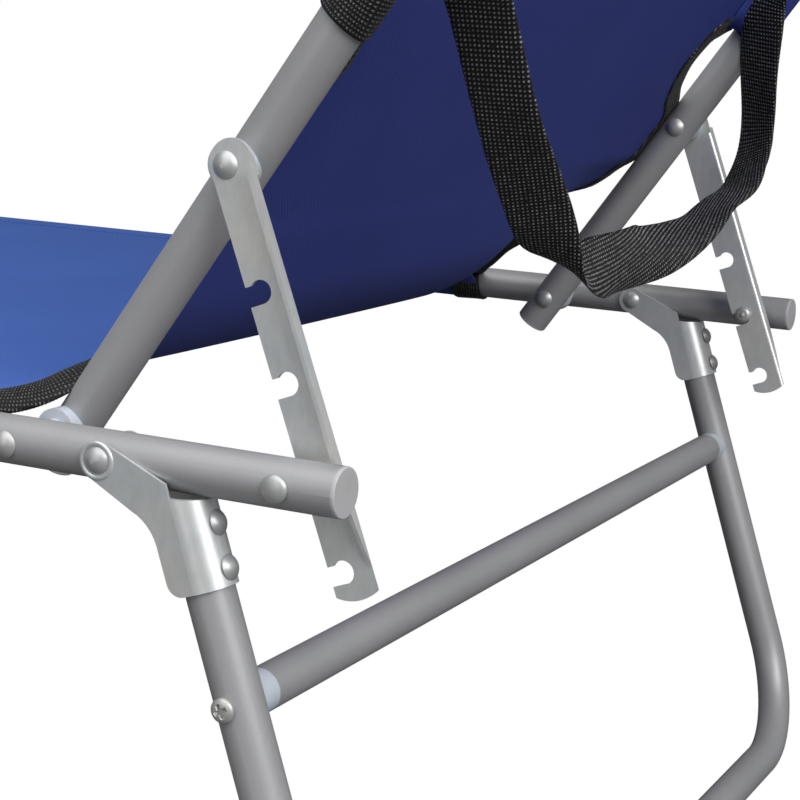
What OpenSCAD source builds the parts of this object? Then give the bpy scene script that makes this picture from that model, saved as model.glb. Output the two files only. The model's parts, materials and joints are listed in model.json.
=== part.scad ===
// Low folding beach lounger: tubular frame, three hoop legs, a foot section that
// folds over the seat and a backrest held by a pair of notched adjuster bars.
// X runs across the seat, +Y points to the head end, +Z is up, the floor is Z = 0
// and the origin lies under the middle of the footprint.

/* [Frame tube] */
// Outside diameter of every frame tube
tube_d = 19; // [18.5:0.1:19.5]
// Wall thickness of every tube
tube_wall = 1.2; // [0.8:0.1:1.6]
// Radius of the tube bends, to the centre line
bend_r = 59.5; // [50:0.5:65]

/* [Lounger] */
// Distance between the centre lines of the two side rails
rail_w = 564; // [540:1:600]
// Distance between the centre lines of the backrest's side tubes
back_w = 490; // [466:1:526]
// Height of the rails' centre line over the floor
rail_z = 270.5; // [270.5:0.5:270.5]
// Length from the back pivot to the middle hinge
seat_len = 695; // [690:5:760]
// Length of the foot section, from the middle hinge to its end bar
foot_len = 535; // [480:5:535]
// Length of the backrest, from its pivot to its top bar
back_len = 640; // [560:5:660]
// Angle of the backrest over the seat
back_angle = 55; // [55:1:55]

/* [Pivots] */
// Adjuster pin, measured forwards from the rails' rear ends
pin_in = 23.6; // [20:0.1:28]
// Rear leg pivot, measured forwards from the rails' rear ends
leg_in = 98.6; // [95:0.1:102]
// Back pivot, measured forwards from the rails' rear ends
back_in = 142.1; // [138:0.1:146]
// Adjuster bar pivot, measured up the backrest's side tube
bar_up = 133.3; // [133:0.1:134]
// Height of the middle hinge pin over the rails' centre line
hinge_up = 12; // [12:0.5:14]
// Shank radius of the rivets and pins
rivet_r = 3; // [2.5:0.1:3.2]

/* [Legs] */
// Lean of each leg from vertical
leg_lean = 19.09; // [19:0.01:19.2]
// Distance from the leg pivot to the leg's centre line
leg_off = 26.7; // [26:0.1:28]
// Length from the pivot to the floor bar, along the leg
leg_len = 283.1; // [283:0.1:283.2]
// Length from the pivot to the crossbar, along the leg
cross_down = 99.3; // [96:0.1:101]
// Diameter of the crossbars
cross_d = 17.5; // [16:0.5:17.5]

/* [Fabric] */
// Thickness of the fabric
cloth_t = 1; // [0.6:0.1:1.2]
// Radius of the fabric's curve between seat and backrest
fold_r = 94; // [80:1:100]
// Width of the carry strap
strap_w = 28; // [25:1:38]
// Thickness of the carry strap
strap_t = 1.6; // [1.2:0.1:2]

/* [Hidden] */
$fn = 96;

tube_r = tube_d / 2;
bore_r = tube_r - tube_wall;
cross_r = cross_d / 2;
// The crossbar sits a little forward of the leg's middle, clear of the adjuster bars.
cross_y = leg_off - 1.2;
rail_x = rail_w / 2;
back_x = back_w / 2;
hole_r = rivet_r + 0.05;

// Half the gap between the tube ends at the middle hinge.
hinge_gap = 4;
// Middle leg pivot, measured from the middle hinge towards the head.
mid_leg_in = 75;
// Length of the backrest's side tubes below their pivot.
back_tail = 18;
// Wall of the glides' clips round the floor bars.
glide_wall = 1.8;

// Places along the lounger. The footprint runs from the front glides to the top bar.
head_reach = back_len * cos(back_angle) + tube_r - back_in;
leg_reach = leg_off * cos(leg_lean) + leg_len * sin(leg_lean);
glide_r = tube_r + glide_wall;
foot_reach = back_in + seat_len + foot_len - leg_in + leg_reach + glide_r;
rear_y = (foot_reach - head_reach) / 2;
pin_y = rear_y - pin_in;
leg_y = rear_y - leg_in;
pivot_y = rear_y - back_in;
mid_y = pivot_y - seat_len;
foot_y = mid_y - foot_len;
mid_leg_y = mid_y + mid_leg_in;
front_leg_y = foot_y + leg_in;

// Layers outwards from a tube's centre line, for the plates beside it.
plate_t = 1.5;
plate_in = tube_r + 0.1;
plate_out = plate_in + plate_t;
leaf_in = plate_out + 0.2;
leaf_out = leaf_in + plate_t;

// Clearance of a flat rivet head or collar off the round tube under it.
seat_gap = 0.05;
head_r = 5.3;
head_h = 2.6;
collar_r = 4;
collar_len = 3.6;
pivot_spacer_r = 4.8;
spacer_r = 6.5;
bar_spacer_r = 8.6;
pivot_washer_r = 8.8;
pivot_washer_t = 5.2;
screw_r = 2.5;
screw_hole_r = 2.55;
screw_head_r = 4.8;
screw_head_h = 2.8;
wrap_rivet_r = 2;
wrap_hole_r = 2.05;
wrap_head_r = 5;

cap_t = 1.5;
cap_round = 0.7;
plug_len = 12;

// Crossbar end plug: the part that shows between bar and leg, and the part inside the bar.
saddle_len = 7;
saddle_plug = 14;

// Hinge leaf: its length along the tube, and the place of its rivet.
leaf_len = 45;
leaf_rivet = 34;
leaf_eye_r = 8;

// Leg bracket: places down the leg of its two rivets, its lower end and its eye.
wrap_rivets = [-32.6, -49.6];
wrap_end = 56;
eye_r = 7.6;
leg_top = 25;

// Half widths of the fabric's narrow ends, at the back pivots and on the backrest.
seat_narrow = 235;
back_narrow = 215;

// Longer than any tube's radius, for the cutters that drill through one.
drill = 15;

// Adjuster bar: places along it from its pivot, and across it with the rear positive.
bar_angle = -68.9;
bar_in_x = 260.5;
bar_t = 1.5;
bar_front = -6.6;
bar_rear = 11.8;
bar_len = 166;
flange_w = 6.2;
flange_start = 4.5;
corner_r = 2;
notch_line = -0.8;
notch_r = 4.5;
notches = [47.8, 82.8, 118.2, 154.6];

glide_x = 105;
glide_w = 34;
sole_w = 16;

// A hollow straight tube along +Z, from z = 0.
module pipe(length, r = tube_r) {
  linear_extrude(length)
    difference() {
      circle(r);
      circle(r - tube_wall);
    }
}

// A hollow quarter bend that leaves the origin along -Z and ends along -X.
module quarter_bend() {
  translate([-bend_r, 0, 0])
    rotate([90, 0, 0])
      rotate_extrude(angle = -90)
        translate([bend_r, 0])
          difference() {
            circle(tube_r);
            circle(bore_r);
          }
}

// A U of tube in the XZ plane: two side tubes that start at z = -start, and a bar at z = -depth.
module hoop(half_w, start, depth) {
  for (side = [0, 1])
    mirror([side, 0, 0]) {
      translate([half_w, 0, bend_r - depth])
        pipe(depth - bend_r - start);
      translate([half_w, 0, bend_r - depth])
        quarter_bend();
    }
  translate([bend_r - half_w, 0, -depth])
    rotate([0, 90, 0])
      pipe(2 * (half_w - bend_r));
}

// A cylinder along X between two places.
module cross_pin(x0, x1, r) {
  translate([x0, 0, 0])
    rotate([0, 90, 0])
      cylinder(h = x1 - x0, r = r);
}

// A domed rivet head that stands on the plane x = 0 and points along +X.
module dome(r = head_r, h = head_h) {
  round_r = (r * r + h * h) / (2 * h);
  rotate([0, 90, 0])
    rotate_extrude()
      intersection() {
        translate([0, h - round_r])
          circle(round_r);
        square([r, h]);
      }
}

// A rivet along X with a dome at both ends.
module rivet(x0, x1) {
  cross_pin(x0, x1, rivet_r);
  translate([x1, 0, 0])
    dome();
  translate([x0, 0, 0])
    mirror([1, 0, 0])
      dome();
}

// Both sides of the lounger, from one side drawn at +X.
module both_sides() {
  for (side = [0, 1])
    mirror([side, 0, 0])
      children();
}

// Puts a 2D outline drawn as (Y, Z) on the plane x = x0, with thickness t along +X.
module plate(x0, t) {
  translate([x0, 0, 0])
    rotate([90, 0, 90])
      linear_extrude(t)
        children();
}

// A plug that closes a tube's end at the origin, with the tube along -Y.
module tube_cap() {
  rotate([90, 0, 0])
    rotate_extrude() {
      square([bore_r, cap_t + plug_len]);
      square([tube_r - cap_round, cap_t]);
      translate([0, cap_round])
        square([tube_r, cap_t - cap_round]);
      translate([tube_r - cap_round, cap_round])
        circle(cap_round);
    }
}

module at_rail(y) {
  translate([0, y, rail_z])
    children();
}

// The backrest's own frame: origin on the back pivot, +Y up the side tubes.
module in_back() {
  at_rail(pivot_y)
    rotate([back_angle, 0, 0])
      children();
}

// A leg's own frame: origin on its pivot, -Z down the leg, +Y the way the leg leans.
module in_leg(y, way) {
  at_rail(y)
    mirror([0, way < 0 ? 1 : 0, 0])
      rotate([leg_lean, 0, 0])
        children();
}

module adjuster_pin() {
  inner = rail_x - tube_r - seat_gap;
  outer = rail_x + tube_r + seat_gap;
  cross_pin(inner - collar_len, inner, collar_r);
  cross_pin(inner, outer, rivet_r);
  translate([outer, 0, 0])
    dome();
}

module rail() {
  difference() {
    translate([rail_x, rear_y - cap_t, rail_z])
      rotate([90, 0, 0])
        pipe(rear_y - cap_t - mid_y - hinge_gap - cap_t);
    for (y = [pin_y, leg_y, pivot_y, mid_leg_y, mid_y + leaf_rivet])
      at_rail(y)
        cross_pin(rail_x - drill, rail_x + drill, hole_r);
  }
}

module rail_left() {
  color("silver")
    rail();
}

module rail_right() {
  color("silver")
    mirror([1, 0, 0])
      rail();
}

module rail_caps() {
  color("gainsboro")
    both_sides() {
      translate([rail_x, rear_y, rail_z])
        tube_cap();
      translate([rail_x, mid_y + hinge_gap, rail_z])
        mirror([0, 1, 0])
          tube_cap();
    }
}

module adjuster_pins() {
  color("lightgray")
    at_rail(pin_y)
      both_sides()
        adjuster_pin();
}

module back_pivot_rivets() {
  color("lightgray")
    at_rail(pivot_y)
      both_sides()
        rivet(back_x - tube_r - seat_gap, rail_x + tube_r + seat_gap);
}

module leg_pivot_rivets(y) {
  color("lightgray")
    at_rail(y)
      both_sides()
        rivet(rail_x - plate_out - 0.1, rail_x + plate_out + 0.1);
}

// Side plate of a hinge leaf: a strip beside the tube with an ear up to the pin.
module leaf_outline() {
  far = leaf_len;
  difference() {
    union() {
      translate([0, hinge_up])
        circle(leaf_eye_r);
      polygon([[-5, hinge_up - 6.2], [leaf_eye_r, hinge_up], [far - 6, 7], [far, 3],
               [far, -3], [far - 6, -7], [hinge_gap + 3, -7], [hinge_gap - 2, -2]]);
    }
    translate([0, hinge_up])
      circle(hole_r);
    translate([leaf_rivet, 0])
      circle(hole_r);
  }
}

module seat_hinge_leaves() {
  color("silver")
    at_rail(mid_y)
      both_sides()
        for (x = [rail_x - plate_out, rail_x + plate_in])
          plate(x, plate_t)
            leaf_outline();
}

module foot_hinge_leaves() {
  color("silver")
    at_rail(mid_y)
      mirror([0, 1, 0])
        both_sides() {
          for (x = [rail_x - leaf_out, rail_x + leaf_in])
            plate(x, plate_t)
              leaf_outline();
          for (x = [rail_x - leaf_in - 0.1, rail_x + tube_r])
            plate(x, leaf_in - tube_r + 0.1)
              difference() {
                translate([leaf_rivet, 0])
                  circle(spacer_r);
                translate([leaf_rivet, 0])
                  circle(hole_r);
              }
        }
}

module mid_hinge_pins() {
  color("lightgray")
    translate([0, mid_y, rail_z + hinge_up])
      both_sides()
        rivet(rail_x - leaf_out - 0.1, rail_x + leaf_out + 0.1);
}

module hinge_leaf_rivets() {
  color("lightgray")
    at_rail(mid_y - leaf_rivet)
      both_sides()
        rivet(rail_x - leaf_out, rail_x + leaf_out);
}

// A fabric panel with full-width edges between its ends and narrower ends at the hinges.
module sling_outline(y0, y1, half_w, narrow, ramp0, ramp1) {
  polygon([[-narrow, y0], [narrow, y0], [half_w, y0 + ramp0], [half_w, y1 - ramp1],
           [narrow, y1], [-narrow, y1], [-half_w, y1 - ramp1], [-half_w, y0 + ramp0]]);
}

// Start of the curve between seat and backrest, forward of the back pivot.
fold_start = 56;
// End of that curve, measured up the backrest.
fold_end = 51;

module seat_fabric() {
  color("royalblue")
    translate([0, 0, rail_z + tube_r])
      linear_extrude(cloth_t)
        sling_outline(mid_y + 2, pivot_y - fold_start - 0.3, rail_x, seat_narrow, 100, 8);
}

// The loose curve of cloth that joins the seat to the backrest.
module fold_fabric() {
  color("royalblue")
    translate([0, pivot_y - fold_start, rail_z + tube_r + cloth_t + fold_r])
      rotate([90, 0, 90])
        translate([0, 0, -seat_narrow])
          linear_extrude(2 * seat_narrow)
            difference() {
              intersection() {
                circle(fold_r + cloth_t);
                polygon([[0, 0], [0, -200], [200, -200], [200 * sin(back_angle), -200 * cos(back_angle)]]);
              }
              circle(fold_r);
            }
}

module back_fabric() {
  color("midnightblue")
    in_back()
      translate([0, 0, tube_r])
        linear_extrude(cloth_t)
          sling_outline(fold_end + 8, back_len - bend_r, back_x, back_narrow, 140, 0.5);
}

module foot_fabric() {
  color("royalblue")
    translate([0, 0, rail_z + tube_r])
      linear_extrude(cloth_t)
        sling_outline(foot_y + bend_r, mid_y - 2, rail_x, seat_narrow, 0.5, 70);
}

module back_frame() {
  color("silver")
    in_back()
      difference() {
        rotate([90, 0, 0])
          hoop(back_x, -back_tail, back_len);
        for (y = [0, bar_up])
          translate([0, y, 0])
            for (side = [-1, 1])
              translate([side * back_x, 0, 0])
                cross_pin(-drill, drill, hole_r);
      }
}

module back_frame_caps() {
  color("gainsboro")
    in_back()
      both_sides()
        translate([back_x, -back_tail - cap_t, 0])
          mirror([0, 1, 0])
            tube_cap();
}

// A plastic spacer on a cross pin, hollowed to sit on the backrest's tube.
module saddle_spacer(r, x_end) {
  difference() {
    cross_pin(back_x, x_end, r);
    translate([back_x, -2 * drill, 0])
      rotate([-90, 0, 0])
        cylinder(h = 4 * drill, r = tube_r);
    cross_pin(back_x - 1, x_end + 1, hole_r);
  }
}

module back_pivot_spacers() {
  color("lightsteelblue")
    in_back()
      both_sides() {
        saddle_spacer(pivot_spacer_r, rail_x - tube_r - 0.2);
        saddle_spacer(pivot_washer_r, back_x + tube_r + pivot_washer_t);
      }
}

module bar_pivot_spacers() {
  color("lightsteelblue")
    in_back()
      translate([0, bar_up, 0])
        both_sides()
          saddle_spacer(bar_spacer_r, bar_in_x - 0.1);
}

module bar_pivot_rivets() {
  color("lightgray")
    in_back()
      translate([0, bar_up, 0])
        both_sides()
          rivet(back_x - tube_r - seat_gap, bar_in_x + bar_t + 0.1);
}

strap_up = 250;
strap_half = back_x - tube_r - 0.6;
strap_drop = 146;
strap_steps = 24;
// Shift of the strap towards the rear, which keeps its front edge behind the backrest's fabric.
strap_back = 3;
// Depth to which its rings are cut away under that fabric.
strap_cut = 1.2;

// Height of the hanging strap under its ends, as a share of its drop, at x as a share of its half width.
function droop(x) = pow(abs(x), 2.4) - 1;

function strap_edge(lift) = [
  for (i = [0 : strap_steps])
    let (x = 1 - 2 * i / strap_steps)
      [x * (strap_half + lift), strap_drop * droop(x) - lift]
];

module carry_strap() {
  anchor_y = pivot_y + strap_up * cos(back_angle);
  anchor_z = rail_z + strap_up * sin(back_angle);
  outer = strap_edge(strap_t / 2);
  inner = strap_edge(-strap_t / 2);
  color("dimgray") {
    translate([0, anchor_y + strap_back + strap_w / 2, anchor_z])
      rotate([90, 0, 0])
        linear_extrude(strap_w)
          polygon(concat(outer, [for (i = [strap_steps : -1 : 0]) inner[i]]));
    in_back()
      translate([0, strap_up - strap_w / 2, 0])
        both_sides()
          translate([back_x, 0, 0])
            rotate([-90, 0, 0])
              difference() {
                cylinder(h = strap_w, r = tube_r + strap_t);
                translate([0, 0, -1])
                  cylinder(h = strap_w + 2, r = tube_r);
                translate([-2 * tube_r, -tube_r - drill, -1])
                  cube([4 * tube_r, drill + strap_cut, strap_w + 2]);
              }
  }
}

// Flat outline of an adjuster bar: X is along it from the pivot, Y is rearwards.
module bar_outline() {
  mid = (bar_front + bar_rear) / 2;
  half = (bar_rear - bar_front) / 2;
  difference() {
    union() {
      translate([0, mid])
        circle(half);
      hull() {
        circle(hole_r);
        translate([flange_start, bar_rear - 1])
          square(1);
        translate([-half * cos(35), mid + half * sin(35) - 0.1])
          square(0.1);
      }
      translate([0, bar_front])
        square([bar_len - 8, 2 * half]);
      intersection() {
        translate([bar_len - 17, bar_rear - 9])
          circle(17);
        translate([bar_len - 20, bar_front])
          square([20, 2 * half]);
      }
    }
    circle(hole_r);
    for (u = notches) {
      translate([u, notch_line])
        circle(notch_r);
      translate([u - notch_r + 1.4, bar_front - 1])
        square([2 * notch_r - 1.4, notch_line - bar_front + 1]);
    }
  }
}

// The flange along the bar's rear edge, which tapers to nothing at the bottom.
module bar_flange() {
  taper = 40;
  taper_r = (taper * taper + flange_w * flange_w) / (2 * flange_w);
  end = bar_len - 6;
  translate([bar_in_x, 0, bar_rear - bar_t])
    linear_extrude(bar_t)
      intersection() {
        translate([0, flange_start])
          square([flange_w, end - flange_start]);
        union() {
          translate([flange_w - taper_r, end - taper])
            circle(taper_r);
          square([flange_w, end - taper]);
        }
      }
}

// What the bend's outer radius takes off the corner between bar and flange.
module bar_bend() {
  translate([bar_in_x, flange_start + 3, bar_rear])
    rotate([-90, 0, 0])
      linear_extrude(bar_len)
        difference() {
          translate([-1, -1])
            square(corner_r + 1);
          translate([corner_r, corner_r])
            circle(corner_r);
        }
}

module adjuster_bar() {
  at_rail(0)
    translate([0, pivot_y + bar_up * cos(back_angle), bar_up * sin(back_angle)])
      rotate([bar_angle, 0, 0]) {
        difference() {
          union() {
            plate(bar_in_x, bar_t)
              bar_outline();
            bar_flange();
          }
          bar_bend();
        }
      }
}

module adjuster_bar_left() {
  color("lightgray")
    adjuster_bar();
}

module adjuster_bar_right() {
  color("lightgray")
    mirror([1, 0, 0])
      adjuster_bar();
}

// The two rivet holes through the back of each leg of a hoop.
module wrap_rivet_holes() {
  for (z = wrap_rivets)
    translate([rail_x, leg_off, z])
      rotate([-90, 0, 0])
        cylinder(h = drill, r = wrap_hole_r);
}

module leg_frame(y, way) {
  color("silver")
    in_leg(y, way)
      difference() {
        translate([0, leg_off, 0])
          hoop(rail_x, leg_top, leg_len);
        both_sides() {
          translate([rail_x, cross_y, -cross_down])
            cross_pin(-drill, drill, screw_hole_r);
          wrap_rivet_holes();
        }
      }
}

module leg_crossbar(y, way) {
  end = rail_x - tube_r - saddle_len;
  color("silver")
    in_leg(y, way)
      translate([-end, cross_y, -cross_down])
        rotate([0, 90, 0])
          pipe(2 * end, cross_r);
}

// A plastic end plug that is hollowed to sit against the leg.
module crossbar_saddles(y, way) {
  end = rail_x - tube_r - saddle_len;
  color("lightsteelblue")
    in_leg(y, way)
      translate([0, cross_y, -cross_down])
        both_sides()
          difference() {
            union() {
              cross_pin(end, rail_x, cross_r);
              cross_pin(end - saddle_plug, end, cross_r - tube_wall);
            }
            translate([rail_x, leg_off - cross_y, -2 * drill])
              cylinder(h = 4 * drill, r = tube_r);
            cross_pin(end - saddle_plug - 1, rail_x, screw_r);
          }
}

module crossbar_screws(y, way) {
  color("lightgray")
    in_leg(y, way)
      translate([0, cross_y, -cross_down])
        both_sides() {
          cross_pin(rail_x - tube_r - 18, rail_x + tube_r + seat_gap, screw_r);
          translate([rail_x + tube_r + seat_gap, 0, 0])
            dome(screw_head_r, screw_head_h);
        }
}

// Side plate of a leg bracket, as (Y, Z) in the leg's own frame, with a round eye on the pivot.
module bracket_outline() {
  corner = 6;
  edge = 16.3;
  difference() {
    union() {
      circle(eye_r);
      difference() {
        polygon([[4.6, 6], [leg_off, -14.2], [leg_off, -wrap_end], [edge + corner, -wrap_end],
                 [edge, -wrap_end + corner], [edge, -36], [9.2, -20.8], [-6.2, -4.3]]);
        translate([edge - 19.8, -36])
          circle(19.8);
      }
      intersection() {
        translate([edge + corner, -wrap_end + corner])
          circle(corner);
        translate([0, -wrap_end])
          square([leg_off, corner]);
      }
    }
    circle(hole_r);
  }
}

// A sheet clevis: two plates beside the rail, joined by a half round wrap behind the leg.
module leg_bracket() {
  difference() {
    union() {
      for (x = [rail_x - plate_out, rail_x + plate_in])
        plate(x, plate_t)
          bracket_outline();
      difference() {
        translate([rail_x, leg_off, -wrap_end])
          rotate_extrude(angle = 180)
            translate([tube_r, 0])
              square([plate_out - tube_r, wrap_end - 12]);
        rotate([-leg_lean, 0, 0])
          translate([rail_x - 2 * drill, 12, -tube_r - 0.3])
            cube([4 * drill, 4 * drill, 40]);
      }
    }
    wrap_rivet_holes();
  }
}

module leg_brackets(y, way) {
  color("gray")
    in_leg(y, way)
      both_sides()
        leg_bracket();
}

module bracket_rivets(y, way) {
  color("lightgray")
    in_leg(y, way)
      both_sides()
        for (z = wrap_rivets)
          translate([rail_x, leg_off + plate_out + seat_gap, z])
            rotate([0, 0, 90]) {
              cross_pin(-5, 0.1, wrap_rivet_r);
              dome(wrap_head_r);
            }
}

// Clip-on plastic glides under the floor bar, with flat soles on the floor.
module glides(y, way) {
  bar_y = way * leg_reach;
  bar_z = leg_off * sin(leg_lean) - leg_len * cos(leg_lean);
  sole = rail_z + bar_z;
  color("dimgray")
    at_rail(y)
      translate([0, bar_y, bar_z])
        for (side = [-1, 1])
          translate([side * glide_x - glide_w / 2, 0, 0])
            rotate([90, 0, 90])
              linear_extrude(glide_w)
                difference() {
                  union() {
                    circle(glide_r);
                    translate([-sole_w / 2, -sole])
                      square([sole_w, sole]);
                  }
                  circle(tube_r);
                  translate([-drill, 3])
                    square([2 * drill, drill]);
                  translate([-drill, -sole - drill])
                    square([2 * drill, drill]);
                }
}

module foot_frame() {
  color("silver")
    difference() {
      at_rail(mid_y)
        rotate([-90, 0, 0])
          hoop(rail_x, hinge_gap + cap_t, foot_len);
      for (y = [front_leg_y, mid_y - leaf_rivet])
        at_rail(y)
          for (side = [-1, 1])
            translate([side * rail_x, 0, 0])
              cross_pin(-drill, drill, hole_r);
    }
}

module foot_frame_caps() {
  color("gainsboro")
    both_sides()
      translate([rail_x, mid_y - hinge_gap, rail_z])
        tube_cap();
}

module rear_leg_pivot_rivets() { leg_pivot_rivets(leg_y); }
module mid_leg_pivot_rivets() { leg_pivot_rivets(mid_leg_y); }
module front_leg_pivot_rivets() { leg_pivot_rivets(front_leg_y); }

rail_left();
rail_right();
rail_caps();
adjuster_pins();
back_pivot_rivets();
rear_leg_pivot_rivets();
mid_leg_pivot_rivets();
seat_hinge_leaves();
mid_hinge_pins();
seat_fabric();
fold_fabric();
back_frame();
back_frame_caps();
back_pivot_spacers();
bar_pivot_spacers();
bar_pivot_rivets();
back_fabric();
carry_strap();
adjuster_bar_left();
adjuster_bar_right();
leg_frame(leg_y, 1);  // rear_leg_frame
leg_crossbar(leg_y, 1);  // rear_leg_crossbar
crossbar_saddles(leg_y, 1);  // rear_crossbar_saddles
crossbar_screws(leg_y, 1);  // rear_crossbar_screws
leg_brackets(leg_y, 1);  // rear_leg_brackets
bracket_rivets(leg_y, 1);  // rear_bracket_rivets
glides(leg_y, 1);  // rear_glides
leg_frame(mid_leg_y, -1);  // mid_leg_frame
leg_crossbar(mid_leg_y, -1);  // mid_leg_crossbar
crossbar_saddles(mid_leg_y, -1);  // mid_crossbar_saddles
crossbar_screws(mid_leg_y, -1);  // mid_crossbar_screws
leg_brackets(mid_leg_y, -1);  // mid_leg_brackets
bracket_rivets(mid_leg_y, -1);  // mid_bracket_rivets
glides(mid_leg_y, -1);  // mid_glides
foot_frame();
foot_frame_caps();
foot_hinge_leaves();
hinge_leaf_rivets();
front_leg_pivot_rivets();
foot_fabric();
leg_frame(front_leg_y, -1);  // front_leg_frame
leg_crossbar(front_leg_y, -1);  // front_leg_crossbar
crossbar_saddles(front_leg_y, -1);  // front_crossbar_saddles
crossbar_screws(front_leg_y, -1);  // front_crossbar_screws
leg_brackets(front_leg_y, -1);  // front_leg_brackets
bracket_rivets(front_leg_y, -1);  // front_bracket_rivets
glides(front_leg_y, -1);  // front_glides
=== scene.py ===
"""Looks for a low folding beach lounger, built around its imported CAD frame.

Metres. X runs across the seat, +Y points to the head end, +Z is up, the floor is z = 0.
"""

import json
import math

import bpy
from mathutils import Matrix, Vector


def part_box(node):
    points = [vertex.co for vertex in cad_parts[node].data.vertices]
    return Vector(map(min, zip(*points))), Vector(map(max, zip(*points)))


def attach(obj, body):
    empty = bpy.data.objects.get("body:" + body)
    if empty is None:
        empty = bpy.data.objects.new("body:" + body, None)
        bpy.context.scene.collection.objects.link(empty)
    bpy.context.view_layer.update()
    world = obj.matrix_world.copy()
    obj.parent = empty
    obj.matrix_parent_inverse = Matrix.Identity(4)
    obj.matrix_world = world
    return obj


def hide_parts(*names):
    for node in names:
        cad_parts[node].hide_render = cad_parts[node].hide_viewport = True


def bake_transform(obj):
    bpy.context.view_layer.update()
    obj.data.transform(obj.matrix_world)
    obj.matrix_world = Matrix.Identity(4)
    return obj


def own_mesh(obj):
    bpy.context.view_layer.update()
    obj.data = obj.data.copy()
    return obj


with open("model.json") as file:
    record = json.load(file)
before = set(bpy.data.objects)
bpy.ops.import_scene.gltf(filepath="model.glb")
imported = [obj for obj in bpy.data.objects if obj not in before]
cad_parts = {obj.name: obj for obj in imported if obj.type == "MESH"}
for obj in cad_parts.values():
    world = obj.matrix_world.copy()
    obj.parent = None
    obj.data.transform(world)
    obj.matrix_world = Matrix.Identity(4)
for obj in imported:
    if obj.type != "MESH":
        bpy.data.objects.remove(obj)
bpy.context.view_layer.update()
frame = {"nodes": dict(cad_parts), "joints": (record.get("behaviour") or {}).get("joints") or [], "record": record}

# ---------------------------------------------------------------- places, from the frame

joints = {joint["name"]: joint for joint in frame["joints"]}
PIVOT_Y, RAIL_Z = joints["back_recline"]["pos_m"][1:]
MID_Y = joints["foot_fold"]["pos_m"][1]
FRONT_LEG_Y = joints["front_leg_fold"]["pos_m"][1]
RAIL_LOW, RAIL_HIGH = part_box("rail_left")
RAIL_X = (RAIL_LOW[0] + RAIL_HIGH[0]) / 2
TUBE_R = (RAIL_HIGH[0] - RAIL_LOW[0]) / 2
BACK_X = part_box("back_frame")[1][0] - TUBE_R
FOOT_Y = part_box("foot_frame")[0][1] + TUBE_R
REAR_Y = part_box("rail_caps")[1][1]
PIN_Y = (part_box("adjuster_pins")[0][1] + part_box("adjuster_pins")[1][1]) / 2

BACK_ANGLE = math.radians(55)
UP_BACK = Vector((0, math.cos(BACK_ANGLE), math.sin(BACK_ANGLE)))
BACK_FRONT = Vector((0, -math.sin(BACK_ANGLE), math.cos(BACK_ANGLE)))
BACK_TOP = 0.580

CLOTH = 0.0008
TAPE_RIB = 0.0017
SLEEVE_R = TUBE_R + 0.0001 + CLOTH
WRAP_TURNS = 16
WRAP_ANGLE = math.radians(262)
SEAT_SAG = 0.0029
BACK_SAG = 0.0024
FOLD_R = 0.1045
TANGENT = FOLD_R / math.tan((math.pi - BACK_ANGLE) / 2)
FOLD_LEN = (FOLD_R - 0.008) * BACK_ANGLE
KNEE_SEAM = MID_Y + 0.100
FOOT_SLEEVE = MID_Y - 0.070
FOOT_SLEEVE_END = FRONT_LEG_Y + 0.027
FOOT_END = FOOT_Y + 0.070


# ---------------------------------------------------------------- materials


def node(tree, kind, **inputs):
    """A shader node with its input values set by socket name."""
    made = tree.nodes.new(kind)
    for name, value in inputs.items():
        made.inputs[name.replace("_", " ")].default_value = value
    return made


def ramp(tree, source, low, high, low_at=0.35, high_at=0.65):
    """Turns a grey value into a colour between low and high."""
    made = tree.nodes.new("ShaderNodeValToRGB")
    made.color_ramp.elements[0].position = low_at
    made.color_ramp.elements[0].color = (*low, 1)
    made.color_ramp.elements[1].position = high_at
    made.color_ramp.elements[1].color = (*high, 1)
    tree.links.new(source, made.inputs["Fac"])
    return made.outputs["Color"]


def noise(tree, coordinates, scale, detail=4.0, rough=0.5):
    made = node(tree, "ShaderNodeTexNoise", Scale=scale, Detail=detail, Roughness=rough)
    tree.links.new(coordinates, made.inputs["Vector"])
    return made.outputs["Fac"]


def arithmetic(tree, operation, first, second):
    """A math node; each input is a socket or a number."""
    made = tree.nodes.new("ShaderNodeMath")
    made.operation = operation
    for socket, value in zip(made.inputs, (first, second)):
        if isinstance(value, (int, float)):
            socket.default_value = value
        else:
            tree.links.new(value, socket)
    return made.outputs[0]


def bump(tree, height, distance, strength=1.0, under=None):
    made = node(tree, "ShaderNodeBump", Strength=strength, Distance=distance)
    tree.links.new(height, made.inputs["Height"])
    if under is not None:
        tree.links.new(under, made.inputs["Normal"])
    return made.outputs["Normal"]


def principled(name, roughness, metallic=0.0, **values):
    """A material with one Principled shader; returns it, its tree, the shader and object coordinates."""
    made = bpy.data.materials.new(name)
    made.use_nodes = True
    tree = made.node_tree
    shader = tree.nodes["Principled BSDF"]
    shader.inputs["Roughness"].default_value = roughness
    shader.inputs["Metallic"].default_value = metallic
    for socket, value in values.items():
        shader.inputs[socket.replace("_", " ")].default_value = value
    place = tree.nodes.new("ShaderNodeTexCoord").outputs["Object"]
    return made, tree, shader, place


def grey(level, tint=(1.0, 1.0, 1.0)):
    return tuple(level * part for part in tint)


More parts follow.
